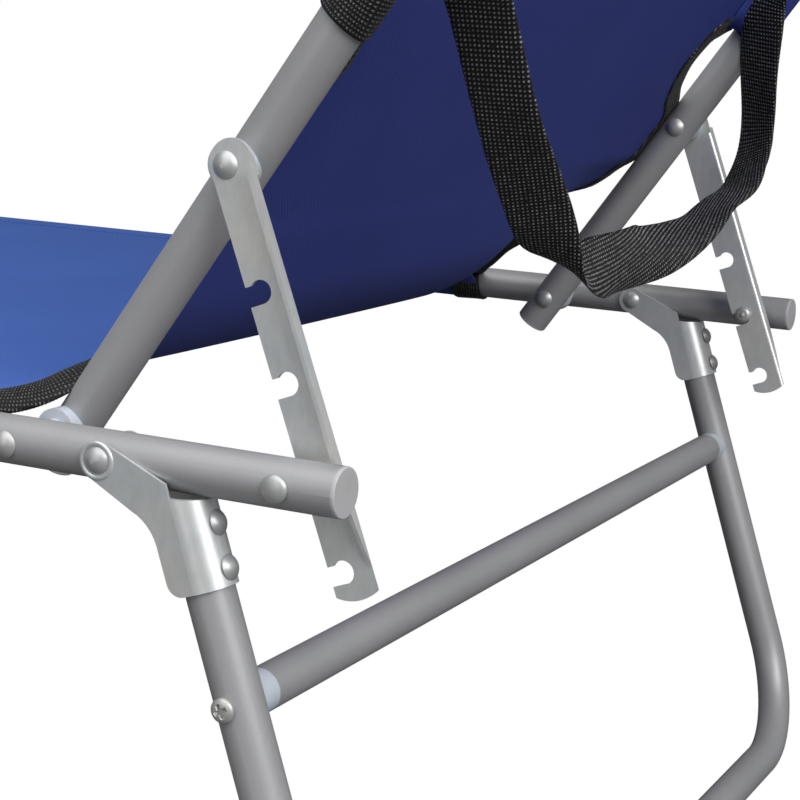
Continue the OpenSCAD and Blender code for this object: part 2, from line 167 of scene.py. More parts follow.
def painted_tube():
    """Satin silver paint: soft metallic flake, faint orange peel and a few rubbed patches."""
    made, tree, shader, place = principled(
        "silver_paint", 0.46, 0.30, Coat_Weight=0.05, Coat_Roughness=0.35)
    flake = noise(tree, place, 900, 2)
    cloud = noise(tree, place, 9, 3)
    mix = arithmetic(tree, "MULTIPLY_ADD", flake, 0.25)
    mix.node.inputs[2].default_value = 0.0
    total = arithmetic(tree, "ADD", mix, arithmetic(tree, "MULTIPLY", cloud, 0.75))
    colour = ramp(tree, total, grey(0.36, (1, 1, 1.02)), grey(0.44, (1, 1, 1.03)), 0.3, 0.7)
    tree.links.new(colour, shader.inputs["Base Color"])
    rubbed = arithmetic(tree, "MULTIPLY", noise(tree, place, 38, 5, 0.6), 0.16)
    tree.links.new(arithmetic(tree, "ADD", rubbed, 0.38), shader.inputs["Roughness"])
    tree.links.new(bump(tree, noise(tree, place, 420, 2), 0.00005, 0.5), shader.inputs["Normal"])
    return made


def zinc(name, low, high, tint_low, tint_high, roughness):
    """Zinc-plated sheet: rolled streaks, soft spangle and a faint blue and straw passivation."""
    made, tree, shader, place = principled(name, roughness, 0.62)
    stretch = node(tree, "ShaderNodeMapping", Scale=(1.0, 1.0, 0.45))
    tree.links.new(place, stretch.inputs["Vector"])
    streak = noise(tree, stretch.outputs["Vector"], 260, 5, 0.6)
    patch = noise(tree, place, 24, 3)
    level = ramp(tree, streak, grey(low), grey(high), 0.3, 0.7)
    tint = ramp(tree, patch, tint_low, tint_high, 0.38, 0.62)
    mixed = tree.nodes.new("ShaderNodeMix")
    mixed.data_type = "RGBA"
    mixed.blend_type = "MULTIPLY"
    mixed.inputs[0].default_value = 1.0
    tree.links.new(level, mixed.inputs[6])
    tree.links.new(tint, mixed.inputs[7])
    tree.links.new(mixed.outputs[2], shader.inputs["Base Color"])
    vary = arithmetic(tree, "MULTIPLY", patch, 0.22)
    tree.links.new(arithmetic(tree, "ADD", vary, roughness - 0.11), shader.inputs["Roughness"])
    tree.links.new(bump(tree, streak, 0.00006, 0.5), shader.inputs["Normal"])
    return made


def plastic(name, low, high, roughness, grain=600, **values):
    """Moulded plastic with a fine grain and slight mottling."""
    made, tree, shader, place = principled(name, roughness, 0.0, **values)
    tree.links.new(ramp(tree, noise(tree, place, 45, 4), low, high), shader.inputs["Base Color"])
    vary = arithmetic(tree, "MULTIPLY", noise(tree, place, 120, 3), 0.15)
    tree.links.new(arithmetic(tree, "ADD", vary, roughness - 0.07), shader.inputs["Roughness"])
    tree.links.new(bump(tree, noise(tree, place, grain, 2), 0.00006, 0.5), shader.inputs["Normal"])
    return made


def attribute(tree, name):
    made = tree.nodes.new("ShaderNodeAttribute")
    made.attribute_name = name
    split = tree.nodes.new("ShaderNodeSeparateXYZ")
    tree.links.new(made.outputs["Vector"], split.inputs["Vector"])
    return split.outputs["X"], split.outputs["Y"]


def threads(tree, along, across, pitch):
    """A plain weave: warp and weft take turns on top, each thread with a round section."""
    u = arithmetic(tree, "MULTIPLY", along, math.pi / pitch)
    v = arithmetic(tree, "MULTIPLY", across, math.pi / pitch)
    warp = arithmetic(tree, "ABSOLUTE", arithmetic(tree, "SINE", u, 0.0), 0.0)
    weft = arithmetic(tree, "ABSOLUTE", arithmetic(tree, "SINE", v, 0.0), 0.0)
    turn = arithmetic(tree, "MULTIPLY", arithmetic(tree, "SINE", u, 0.0),
                      arithmetic(tree, "SINE", v, 0.0))
    over = arithmetic(tree, "MULTIPLY_ADD", turn, 0.5)
    over.node.inputs[2].default_value = 0.5
    return arithmetic(tree, "MULTIPLY", arithmetic(tree, "ADD", warp, weft), over)


def woven(name, low, high, roughness, sheen, pitch=0.00062):
    """Woven polyester: fine threads, slubs, broad fading and a soft sheen."""
    made, tree, shader, place = principled(
        name, roughness, 0.0, Sheen_Weight=sheen, Sheen_Roughness=0.45, Specular_IOR_Level=0.3)
    shader.inputs["Sheen Tint"].default_value = (*[min(1.0, 2.2 * part + 0.1) for part in high], 1)
    along, across = attribute(tree, "weave")
    cloth = threads(tree, along, across, pitch)
    slub = noise(tree, place, 700, 3)
    fade = noise(tree, place, 7, 4)
    mottle = arithmetic(tree, "ADD", arithmetic(tree, "MULTIPLY", slub, 0.35),
                        arithmetic(tree, "MULTIPLY", fade, 0.5))
    total = arithmetic(tree, "ADD", mottle, arithmetic(tree, "MULTIPLY", cloth, 0.10))
    tree.links.new(ramp(tree, total, low, high, 0.28, 0.62), shader.inputs["Base Color"])
    wrinkle = bump(tree, noise(tree, place, 26, 3), 0.0009, 0.28)
    tree.links.new(bump(tree, cloth, 0.00012, 0.8, wrinkle), shader.inputs["Normal"])
    return made


def webbing(name, low, high, rib, column, sheen):
    """Black ribbed tape: raised floats in rows, painted lighter where each thread comes up as a painted highlight.
    """
    made, tree, shader, place = principled(
        name, 0.62, 0.0, Sheen_Weight=sheen, Sheen_Roughness=0.4, Specular_IOR_Level=0.4)
    along, across = attribute(tree, "weave")
    row = arithmetic(tree, "SINE", arithmetic(tree, "MULTIPLY", along, 2 * math.pi / rib), 0.0)
    stagger = arithmetic(tree, "MULTIPLY", along, 0.3 * math.pi / rib)
    line = arithmetic(tree, "SINE", arithmetic(
        tree, "ADD", arithmetic(tree, "MULTIPLY", across, 2 * math.pi / column), stagger), 0.0)
    both = arithmetic(tree, "MULTIPLY", arithmetic(tree, "ADD", row, 1.0),
                      arithmetic(tree, "ADD", line, 1.0))
    floats = arithmetic(tree, "MULTIPLY", both, 0.25)
    # The raised floats are painted lighter, a painted highlight, broken up by noise.
    painted_float_highlight = arithmetic(tree, "MULTIPLY", floats, noise(tree, place, 520, 3))
    tree.links.new(ramp(tree, painted_float_highlight, low, high, 0.20, 0.52), shader.inputs["Base Color"])
    tree.links.new(bump(tree, floats, 0.0004, 0.9), shader.inputs["Normal"])
    return made


MATERIALS = {
    "frame_paint": painted_tube(),
    "zinc_plate": zinc("zinc_sheet", 0.76, 0.85, (0.94, 0.98, 1.0), (1.0, 0.99, 0.955), 0.38),
    "bright_steel": zinc("zinc_rivet", 0.50, 0.58, (0.97, 0.99, 1.0), (1.0, 0.99, 0.97), 0.46),
    "grey_plastic": plastic("grey_plug", grey(0.44), grey(0.50, (1, 1, 1.04)), 0.5),
    "pale_plastic": plastic("pale_spacer", (0.50, 0.55, 0.61), (0.58, 0.63, 0.69), 0.38,
                            Subsurface_Weight=0.15, Subsurface_Scale=0.004),
    "black_plastic": plastic("black_glide", grey(0.018), grey(0.03), 0.5),
    # The top and rear cloths are one blue cloth. The rear copy is painted darker as painted shade for the cloth's
    # undersides and the sleeves where they turn under.
    "seat_cloth": woven("blue_cloth_top", (0.044, 0.119, 0.455), (0.061, 0.153, 0.550), 0.66, 0.12),
    "back_cloth": woven("blue_cloth_painted_shade", (0.026, 0.041, 0.222), (0.038, 0.058, 0.284), 0.72, 0.05),
    "webbing": webbing("black_webbing", grey(0.007), grey(0.34), 0.0022, 0.0019, 0.05),
}
TAPE = webbing("black_binding", grey(0.0025), grey(0.16), TAPE_RIB, 0.0016, 0.05)
THREAD = plastic("blue_thread", (0.02, 0.04, 0.16), (0.03, 0.06, 0.2), 0.6)


# ---------------------------------------------------------------- mesh helpers


def hand(side):
    return "left" if side > 0 else "right"


def piece(name, points, faces, materials, weave=None, kinds=None):
    """A smooth mesh object; weave holds each point's place along and across the cloth."""
    mesh = bpy.data.meshes.new(name)
    mesh.from_pydata([tuple(point) for point in points], [], faces)
    for material in materials:
        mesh.materials.append(material)
    if kinds:
        mesh.polygons.foreach_set("material_index", kinds)
    if weave:
        held = mesh.attributes.new("weave", "FLOAT_VECTOR", "POINT")
        held.data.foreach_set("vector", [part for spot in weave for part in (*spot, 0.0)])
    mesh.polygons.foreach_set("use_smooth", [True] * len(mesh.polygons))
    mesh.validate()
    made = bpy.data.objects.new(name, mesh)
    bpy.context.scene.collection.objects.link(made)
    return made


def strip(rows, closed=False):
    """Faces of a grid given as rows of point numbers, with None where the grid has no point."""
    faces = []
    for lower, upper in zip(rows, rows[1:]):
        count = len(lower) if closed else len(lower) - 1
        for i in range(count):
            j = (i + 1) % len(lower)
            corners = (lower[i], lower[j], upper[j], upper[i])
            if None not in corners:
                faces.append(corners)
    return faces


def sheet_piece(name, grid, weave_grid, top, under):
    """A cloth of real thickness from a grid of points, whose top faces +normal; None leaves a gap."""
    points, spots, numbers = [], [], []
    for row, spot_row in zip(grid, weave_grid):
        line = []
        for point, spot in zip(row, spot_row):
            line.append(None if point is None else len(points))
            if point is not None:
                points.append(point)
                spots.append(spot)
        numbers.append(line)
    # Past the tube's outer side a sleeve takes the rear cloth's darker colour: painted shade where it turns down
    # and under.
    painted_shade_cells = WRAP_TURNS - 3
    kinds = [int(i < painted_shade_cells or i >= len(lower) - 1 - painted_shade_cells)
             for lower, upper in zip(numbers, numbers[1:]) for i in range(len(lower) - 1)
             if None not in (lower[i], lower[i + 1], upper[i], upper[i + 1])]
    made = piece(name, points, strip(numbers), [top, under, top], spots, kinds)
    solid = made.modifiers.new("thickness", "SOLIDIFY")
    solid.thickness = CLOTH
    solid.offset = -1
    # The whole underside takes the darker rear cloth: painted shade.
    solid.material_offset = 1
    solid.material_offset_rim = 2
    settle(made)
    return made


def settle(made):
    """Applies every modifier."""
    bpy.context.view_layer.update()
    evaluated = made.evaluated_get(bpy.context.evaluated_depsgraph_get())
    mesh = bpy.data.meshes.new_from_object(evaluated)
    made.modifiers.clear()
    made.data = mesh


def smooth_step(value):
    """Eases from 0 to 1 as the value goes from 0 to 1."""
    share = min(1.0, max(0.0, value))
    return share * share * (3 - 2 * share)


def curve_through(stops, at):
    """Smooth value at a place, through (place, value) stops, with no overshoot."""
    if at <= stops[0][0]:
        return stops[0][1]
    if at >= stops[-1][0]:
        return stops[-1][1]
    k = next(k for k in range(len(stops) - 1) if at <= stops[k + 1][0])

    def slope(n):
        return (stops[n + 1][1] - stops[n][1]) / (stops[n + 1][0] - stops[n][0])

    def tangent(n):
        if n == 0 or n == len(stops) - 1:
            return 0.0
        before, after = slope(n - 1), slope(n)
        return 2 * before * after / (before + after) if before * after > 0 else 0.0

    (x0, y0), (x1, y1) = stops[k:k + 2]
    span = x1 - x0
    s = (at - x0) / span
    return ((2 * s ** 3 - 3 * s * s + 1) * y0 + (s ** 3 - 2 * s * s + s) * span * tangent(k)
            + (3 * s * s - 2 * s ** 3) * y1 + (s ** 3 - s * s) * span * tangent(k + 1))


def smooth_path(points, steps):
    """Catmull-Rom curve through the points, with steps pieces between each two."""
    padded = [2 * points[0] - points[1], *points, 2 * points[-1] - points[-2]]
    made = []
    for i in range(len(points) - 1):
        a, b, c, d = padded[i:i + 4]
        for k in range(steps):
            t = k / steps
            made.append(0.5 * (2 * b + (c - a) * t + (2 * a - 5 * b + 4 * c - d) * t * t
                               + (3 * b - a - 3 * c + d) * t ** 3))
    made.append(points[-1])
    return made


def resampled(path, step):
    """The same route with points a step apart, and the total length."""
    total = sum((b - a).length for a, b in zip(path, path[1:]))
    count = max(2, round(total / step))
    made, run, i = [path[0]], 0.0, 0
    for k in range(1, count):
        goal = total * k / count
        while run + (path[i + 1] - path[i]).length < goal:
            run += (path[i + 1] - path[i]).length
            i += 1
        share = (goal - run) / (path[i + 1] - path[i]).length
        made.append(path[i].lerp(path[i + 1], share))
    made.append(path[-1])
    return made, total


def spread_steps(low, high, step):
    count = max(1, round((high - low) / step))
    return [low + (high - low) * k / count for k in range(count + 1)]


# ---------------------------------------------------------------- camera and light

CAMERA_AT = Vector((0.87883, 0.89947, 0.43392))
CAMERA_AZIMUTH = math.radians(116.384)
CAMERA_ELEVATION = math.radians(10.846)
CAMERA_ROLL = math.radians(2.5)
CAMERA_LENS = 88.95


def make_camera():
    away = Vector((math.sin(CAMERA_AZIMUTH) * math.cos(CAMERA_ELEVATION),
                   -math.cos(CAMERA_AZIMUTH) * math.cos(CAMERA_ELEVATION),
                   math.sin(CAMERA_ELEVATION)))
    right = (-away).cross(Vector((0, 0, 1))).normalized()
    up = away.cross(right)
    c, s = math.cos(CAMERA_ROLL), math.sin(CAMERA_ROLL)
    right, up = c * right + s * up, c * up - s * right
    data = bpy.data.cameras.new("camera")
    data.sensor_width = 36
    data.lens = CAMERA_LENS
    data.clip_start = 0.02
    made = bpy.data.objects.new("camera", data)
    made.matrix_world = Matrix.Translation(CAMERA_AT) @ Matrix((right, up, away)).transposed().to_4x4()
    bpy.context.scene.collection.objects.link(made)
    bpy.context.scene.camera = made


def area_light(name, place, target, size, power):
    data = bpy.data.lights.new(name, "AREA")
    data.shape = "RECTANGLE"
    data.size, data.size_y = size
    data.energy = power
    made = bpy.data.objects.new(name, data)
    made.location = place
    made.rotation_euler = (Vector(target) - Vector(place)).to_track_quat("-Z", "Y").to_euler()
    bpy.context.scene.collection.objects.link(made)


def seen_or_lit(tree, seen, lit):
    """Mixes two shaders: one that the eye sees, and one that lights the object."""
    rays = tree.nodes.new("ShaderNodeLightPath").outputs["Is Camera Ray"]
    mix = tree.nodes.new("ShaderNodeMixShader")
    tree.links.new(rays, mix.inputs["Fac"])
    tree.links.new(lit, mix.inputs[1])
    tree.links.new(seen, mix.inputs[2])
    return mix.outputs[0]


def make_studio():
    world = bpy.data.worlds.new("studio")
    world.use_nodes = True
    tree = world.node_tree
    seen = node(tree, "ShaderNodeBackground", Color=(1, 1, 1, 1), Strength=1.0)
    lit = node(tree, "ShaderNodeBackground", Color=(0.96, 0.98, 1, 1), Strength=0.22)
    out = tree.nodes["World Output"].inputs["Surface"]
    tree.links.new(seen_or_lit(tree, seen.outputs[0], lit.outputs[0]), out)
    bpy.context.scene.world = world

    floor = piece("floor", [(-6, -6, 0), (6, -6, 0), (6, 6, 0), (-6, 6, 0)], [(0, 1, 2, 3)], [])
    paper = bpy.data.materials.new("pale_paper")
    paper.use_nodes = True
    tree = paper.node_tree
    shade = tree.nodes["Principled BSDF"]
    shade.inputs["Base Color"].default_value = (0.12, 0.12, 0.12, 1)
    shade.inputs["Roughness"].default_value = 0.9
    glow = node(tree, "ShaderNodeEmission", Color=(1, 1, 1, 1), Strength=1.0)
    out = tree.nodes["Material Output"].inputs["Surface"]
    tree.links.new(seen_or_lit(tree, glow.outputs[0], shade.outputs[0]), out)
    floor.data.materials.append(paper)

    middle = (0, 0.1, 0.3)
    area_light("overhead", (0.9, 0.3, 1.9), middle, (2.0, 2.2), 25)
    area_light("rear_key", (0.9, 2.3, 1.5), (0.1, 0.4, 0.25), (1.5, 1.3), 42)
    area_light("side_fill", (2.6, 0.2, 0.8), middle, (1.2, 1.0), 6)


make_camera()
make_studio()


# ---------------------------------------------------------------- carry strap

STRAP_W = 0.028
STRAP_T = 0.0016
STRAP_RIB = 0.0022
# Places of the hanging strap from the rails' rear ends, and the way its width points there.
STRAP_ROUTE = [
    ((0.237, 0.009, 0.199), (0.1, 1, 0.1)),
    ((0.205, 0.006, 0.172), (0.1, 1, 0.1)),
    ((0.172, 0.006, 0.128), (0.1, 1, 0.1)),
    ((0.132, 0.003, 0.093), (0.1, 1, 0.15)),
    ((0.113, 0.001, 0.077), (0.0, 1, 0.3)),
    ((0.099, 0.000, 0.067), (0.0, 0.95, 0.3)),
    ((0.084, 0.000, 0.0625), (0.0, 1, -0.4)),
    ((0.066, 0.000, 0.0605), (0.04, 0.7, -0.75)),
    ((0.021, 0.000, 0.0590), (0.05, 0.31, -0.95)),
    ((-0.039, -0.003, 0.061), (0.0, 0.43, -0.9)),
    ((-0.108, -0.008, 0.066), (0.5, 0.69, -0.5)),
    ((-0.150, -0.011, 0.072), (0.66, 0.70, -0.25)),
    ((-0.196, -0.014, 0.079), (0.72, 0.70, -0.1)),
    ((-0.220, -0.016, 0.088), (0.76, 0.65, 0)),
    ((-0.234, -0.0165, 0.101), (0.74, 0.67, 0)),
    ((-0.238, -0.017, 0.118), (0.72, 0.68, 0)),
    ((-0.233, -0.017, 0.142), (0.56, 0.82, 0)),
    ((-0.229, -0.016, 0.163), (0.46, 0.87, 0)),
    ((-0.226, -0.014, 0.184), (0.29, 0.95, 0.1)),
    ((-0.232, -0.004, 0.199), (0.1, 1, 0.5)),
]
STRAP_UP = 0.250


def band(name, path, widths, width, thickness, rib, material, curl=None, columns=14):
    """A ribbed flat band along a path, closed round its edges; curl bends its cross-section."""
    points, spots, rows = [], [], []
    run = 0.0
    for i, (place, side) in enumerate(zip(path, widths)):
        if i:
            run += (place - path[i - 1]).length
        ahead = (path[min(i + 1, len(path) - 1)] - path[max(i - 1, 0)]).normalized()
        side = (side - ahead * side.dot(ahead)).normalized()
        face = side.cross(ahead)
        bend = curl(i / (len(path) - 1)) if curl else 0.0
        swell = 0.16 * thickness * math.sin(2 * math.pi * run / rib)
        line = []
        for k in range(2 * columns):
            share = k / (columns - 1) if k < columns else (2 * columns - 1 - k) / (columns - 1)
            across = (share - 0.5) * width
            rim = math.sqrt(max(0.0, 1 - (2 * share - 1) ** 12))
            half = (thickness / 2 + swell) * (0.35 + 0.65 * rim)
            lift = half if k < columns else -half
            line.append(len(points))
            curled = bend * max(0.0, (share - 0.5) / 0.5) ** 2
            points.append(place + side * across + face * (lift - curled))
            spots.append((run, across))
        rows.append(line)
    faces = strip(rows, closed=True)
    for line, flip in ((rows[0], True), (rows[-1], False)):
        for k in range(columns - 1):
            cap = (line[k], line[k + 1], line[2 * columns - 2 - k], line[2 * columns - 1 - k])
            faces.append(cap[::-1] if flip else cap)
    return piece(name, points, faces, [material], spots)


def on_back(x, up, forward):
    """A place in the backrest's own frame: up its side tubes and forward of their centre lines."""
    return Vector((x, PIVOT_Y, RAIL_Z)) + UP_BACK * up + BACK_FRONT * forward


def make_strap():
    base = Vector((0, REAR_Y, RAIL_Z))
    rough = smooth_path([base + Vector(place) for place, _ in STRAP_ROUTE], 16)
    sides = smooth_path([Vector(side) for _, side in STRAP_ROUTE], 16)
    path, length = resampled(rough, STRAP_RIB / 4)
    widths = []
    for k in range(len(path)):
        at = k / (len(path) - 1) * (len(sides) - 1)
        low = min(int(at), len(sides) - 2)
        widths.append(sides[low].lerp(sides[low + 1], at - low))
    bow = lambda share: 0.0065 * math.sin(math.pi * min(1.0, max(0.0, (share - 0.26) / 0.4)))
    strap = band("strap", path, widths, STRAP_W, STRAP_T, STRAP_RIB, MATERIALS["webbing"], bow)
    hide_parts("carry_strap")
    for side in (-1, 1):
        ring_r = SLEEVE_R + STRAP_T / 2 + 0.0002
        ring, turned = [], []
        for k in range(int(2 * math.pi * ring_r / (STRAP_RIB / 4)) + 1):
            angle = k * (STRAP_RIB / 4) / ring_r
            ring.append(on_back(side * (BACK_X - ring_r * math.cos(angle)), STRAP_UP,
                                ring_r * math.sin(angle)))
            turned.append(UP_BACK)
        loop = band(f"strap_loop_{hand(side)}", ring, turned,
                    STRAP_W, STRAP_T, STRAP_RIB, MATERIALS["webbing"])
        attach(loop, "backrest")
    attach(strap, "backrest")
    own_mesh(strap)


make_strap()


# ---------------------------------------------------------------- the sling

# Half width of the sling's free side edges, by place along the cloth from the fold's start.
# The cut is not the same on both sides, and the right edge is pulled up into the corner.
FREE_EDGE = {
    1: [(-0.012, 0.282), (0.002, 0.272), (0.020, 0.264), (0.046, 0.257), (0.058, 0.246), (0.068, 0.236),
        (0.084, 0.236), (0.110, 0.242), (0.172, 0.243), (0.182, 0.240), (0.197, 0.221), (0.213, 0.2115),
        (0.226, 0.215), (0.238, 0.240)],
    -1: [(-0.012, 0.282), (0.000, 0.266), (0.012, 0.256), (0.030, 0.247), (0.124, 0.243), (0.148, 0.248),
         (0.172, 0.248), (0.182, 0.242), (0.197, 0.221), (0.213, 0.2115), (0.226, 0.215), (0.238, 0.240)],
}
PULL = [(-0.008, 0.0), (0.006, 0.010), (0.034, 0.025), (0.067, 0.030), (0.094, 0.024), (0.112, 0.012),
        (0.125, 0.007), (0.145, 0.0)]
PULL_START = 0.110
PULL_W = 0.125
# How far the free edges droop, by place along the cloth, and the width that droops with them.
DROOP = [(-0.02, 0), (0.006, 0.0060), (0.046, 0.0105), (0.08, 0.002), (0.1, 0)]
DROOP_W = 0.020
# Past the fold the cloth changes from the rails' spacing to the backrest's.
CHANGE_IN = 0.030
CHANGE_LEN = 0.010
SEAT_SLEEVE_END = -0.008
BACK_SLEEVE_START = 0.238
SLING_END = FOLD_LEN + BACK_TOP - TANGENT
SLING_START = KNEE_SEAM - (PIVOT_Y - TANGENT)


def sling_frame(v):
    """Place of the tube plane at v along the cloth, the way the cloth runs, and its top side."""
    if v <= 0:
        return Vector((0, PIVOT_Y - TANGENT + v, RAIL_Z)), Vector((0, 0, 1))
    if v < FOLD_LEN:
        angle = v / FOLD_LEN * BACK_ANGLE
        up = Vector((0, -math.sin(angle), math.cos(angle)))
        centre = Vector((0, PIVOT_Y - TANGENT, RAIL_Z + FOLD_R))
        return centre - up * FOLD_R, up
    return on_back(0, TANGENT + v - FOLD_LEN, 0), BACK_FRONT


def sling_height(v, x):
    """How far the cloth's top lies over the plane of the tubes."""
    pull = 0.0
    if x < -PULL_START and PULL[0][0] < v < PULL[-1][0]:
        pull = curve_through(PULL, v) * smooth_step((-x - PULL_START) / PULL_W)
    return pull + level_height(v, x)


def level_height(v, x):
    """The cloth's top over the plane of the tubes, without the pull at the right edge."""
    wide = abs(x)
    if v < FOLD_LEN + CHANGE_IN:
        height = SLEEVE_R - SEAT_SAG * (1 - min(1.0, wide / RAIL_X) ** 3)
        edge = half_width(v, 1 if x > 0 else -1)
        return height - curve_through(DROOP, v) * max(0.0, 1 - (edge - wide) / DROOP_W) ** 2
    past = max(0.0, wide - BACK_X)
    sag = BACK_SAG * (1 - min(1.0, wide / (BACK_X - 0.012)) ** 3)
    ready = min(1.0, (v - FOLD_LEN - CHANGE_IN) / CHANGE_LEN)
    start = SLEEVE_R - SEAT_SAG * (1 - min(1.0, wide / RAIL_X) ** 3)
    return start + (SLEEVE_R - sag - 24 * past * past - start) * ready


def half_width(v, side):
    """Half the sling's width at v: to its tubes in the sleeves, and to the cut edge between them."""
    if v <= SEAT_SLEEVE_END:
        return RAIL_X
    if v >= BACK_SLEEVE_START:
        return BACK_X
    return curve_through(FREE_EDGE[side], v)


def sling_point(v, x):
    base, up = sling_frame(v)
    return base + Vector((x, 0, 0)) + up * sling_height(v, x)


def sling_normal(v, x):
    step = 0.001
    along = sling_point(v + step, x) - sling_point(v - step, x)
    across = sling_point(v, x + step) - sling_point(v, x - step)
    return across.cross(along).normalized()


def wrap_offsets(flap):
    """The sleeve's way round its tube from the top, outwards and under, to its seam inside."""
    made = []
    for k in range(1, WRAP_TURNS + 1):
        angle = WRAP_ANGLE * k / WRAP_TURNS
        made.append((SLEEVE_R * math.sin(angle), SLEEVE_R * math.cos(angle)))
    x0, z0 = made[-1]
    for k in range(1, 5):
        share = k / 4
        made.append((x0 + (-flap - x0) * share, z0 + (SLEEVE_R - 2.1 * CLOTH - 0.0006 - z0) * share ** 0.6))
    return made


SEAT_FLAP = wrap_offsets(0.022)
FLAT_COLUMNS = 56


def sling_rows(stations, width_at, frame_at, height_at, sleeved, tube_at):
    """Grid of a sling: sleeve, flat cloth and sleeve, with gaps where a sleeve has ended."""
    grid, weave = [], []
    for v in stations:
        base, up = frame_at(v)
        left, right, has = width_at(v, 1), width_at(v, -1), sleeved(v)
        row, spots = [], []
        run = right + sum(math.dist(a, b) for a, b in zip([(0, SLEEVE_R), *SEAT_FLAP], SEAT_FLAP))
        for out, high in reversed(SEAT_FLAP):
            row.append(base + Vector((-tube_at(v) - out, 0, 0)) + up * high if has else None)
            spots.append((v, -run))
            run -= SLEEVE_R * 0.28
        for k in range(FLAT_COLUMNS + 1):
            share = 2 * k / FLAT_COLUMNS - 1
            x = (left if share > 0 else right) * (0.35 * math.sin(share * math.pi / 2) + 0.65 * share)
            row.append(base + Vector((x, 0, 0)) + up * height_at(v, x))
            spots.append((v, x))
        run = left
        for out, high in SEAT_FLAP:
            run += SLEEVE_R * 0.28
            row.append(base + Vector((tube_at(v) + out, 0, 0)) + up * high if has else None)
            spots.append((v, run))
        grid.append(row)
        weave.append(spots)
    return grid, weave


def make_sling():
    stations = (spread_steps(SLING_START, SEAT_SLEEVE_END, 0.012)
                + spread_steps(SEAT_SLEEVE_END, BACK_SLEEVE_START, 0.0032)[1:]
                + spread_steps(BACK_SLEEVE_START, SLING_END, 0.012)[1:])
    sleeved = lambda v: v <= SEAT_SLEEVE_END + 1e-9 or v >= BACK_SLEEVE_START - 1e-9
    tube_at = lambda v: RAIL_X if v < 0.05 else BACK_X
    grid, weave = sling_rows(stations, half_width, sling_frame, sling_height, sleeved, tube_at)
    return sheet_piece("seat_and_back_sling", grid, weave, MATERIALS["seat_cloth"], MATERIALS["back_cloth"])


def blend_sling(made):
    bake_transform(made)


BINDING_W = 0.013
BINDING_T = 0.0009


def binding(name, count, edge, inward, normal):
    """Tape folded over a cloth edge: edge, inward and normal are functions of the station number."""
    points, spots, rows = [], [], []
    run = 0.0
    last = None
    profile = [(1.0, 0.15), (0.97, 0.9), (0.8, 1.0), (0.55, 1.0), (0.3, 1.0), (0.1, 1.0), (-0.02, 0.75),
               (-0.07, 0.0)]
    for i in range(count):
        place, ins, up = edge(i), inward(i), normal(i)
        if last is not None:
            run += (place - last).length
        last = place
        swell = 1 + 0.22 * math.sin(2 * math.pi * run / TAPE_RIB)
        line = []
        for way, part in ((1, profile), (-1, profile[-2::-1])):
            for share, lift in part:
                raised = CLOTH / 2 + BINDING_T * lift * swell if lift else 0.0
                line.append(len(points))
                points.append(place + ins(share * BINDING_W) + up * (way * raised))
                spots.append((run, share * BINDING_W * way))
        rows.append(line)
    return piece(name, points, strip(rows), [TAPE], spots)


def sling_binding(side):
    """The tape on one free side edge of the sling, from the rail sleeve to the backrest's sleeve."""
    stations = spread_steps(SEAT_SLEEVE_END - 0.002, BACK_SLEEVE_START + 0.002, TAPE_RIB / 3)
    width_of = lambda v: curve_through(FREE_EDGE[side], v)

    def at(i, inset=0.0):
        v = stations[i]
        slope = (width_of(v + 0.001) - width_of(v - 0.001)) / 0.002
        length = math.hypot(1, slope)
        moved = v + inset * slope / length
        return sling_point(moved, side * (width_of(v) - inset / length))

    def inward(i):
        return lambda inset: (at(i, max(inset, 0.0)) - at(i)
                              + (at(i) - at(i, 0.002)) * (max(-inset, 0.0) / 0.002))

    def normal(i):
        return sling_normal(stations[i], side * width_of(stations[i]))

    name = f"edge_binding_{hand(side)}"
    return binding(name, len(stations), lambda i: at(i) - normal(i) * CLOTH / 2, inward, normal)


MOUTH_LEN = 0.018
MOUTH_RIM = 0.0012


def sleeve_mouth(name, centre, along, up, out):
    """Ribbed tape round a sleeve's open end: a soft, slightly uneven ring about its tube."""
    rows, points, spots = [], [], []
    turns = 72
    stations = spread_steps(-MOUTH_RIM, MOUTH_LEN, TAPE_RIB / 3)
    for place in stations:
        share = place / MOUTH_LEN
        line = []
        ends = (min(1.0, max(0.0, (place + MOUTH_RIM) / MOUTH_RIM))
                * min(1.0, max(0.0, (MOUTH_LEN - place) / MOUTH_RIM)))
        for k in range(turns):
            angle = 2 * math.pi * k / turns
            wave = 0.00035 * math.sin(3 * angle + 1.3) + 0.00025 * math.sin(5 * angle + 4 * share)
            swell = 0.00018 * math.sin(2 * math.pi * place / TAPE_RIB)
            radius = SLEEVE_R + 0.0001 + (0.0011 + wave + swell) * (0.25 + 0.75 * ends)
            line.append(len(points))
            skew = 0.0016 * math.cos(angle - 0.6)
            points.append(centre + along * (place + skew * (1 - share))
                          + out * (radius * math.sin(angle)) + up * (radius * math.cos(angle)))
            spots.append((place, radius * angle))
        rows.append(line)
    inner = []
    for k in range(turns):
        angle = 2 * math.pi * k / turns
        inner.append(len(points))
        points.append(centre + along * (stations[0] + 0.0004 + 0.0016 * math.cos(angle - 0.6))
                      + (out * math.sin(angle) + up * math.cos(angle)) * (TUBE_R + 0.0002))
        spots.append((0.0, TUBE_R * angle))
    return piece(name, points, strip([inner, *rows], closed=True), [TAPE], spots)


def straight_band(name, points, side, width, thickness):
    """Binding tape along a straight or gently bent edge line."""
    path, _ = resampled(points, TAPE_RIB / 3)
    return band(name, path, [side] * len(path), width, thickness, TAPE_RIB, TAPE, columns=8)


STITCH_PITCH = 0.0036
STITCH_LEN = 0.0024
STITCH_R = 0.00022


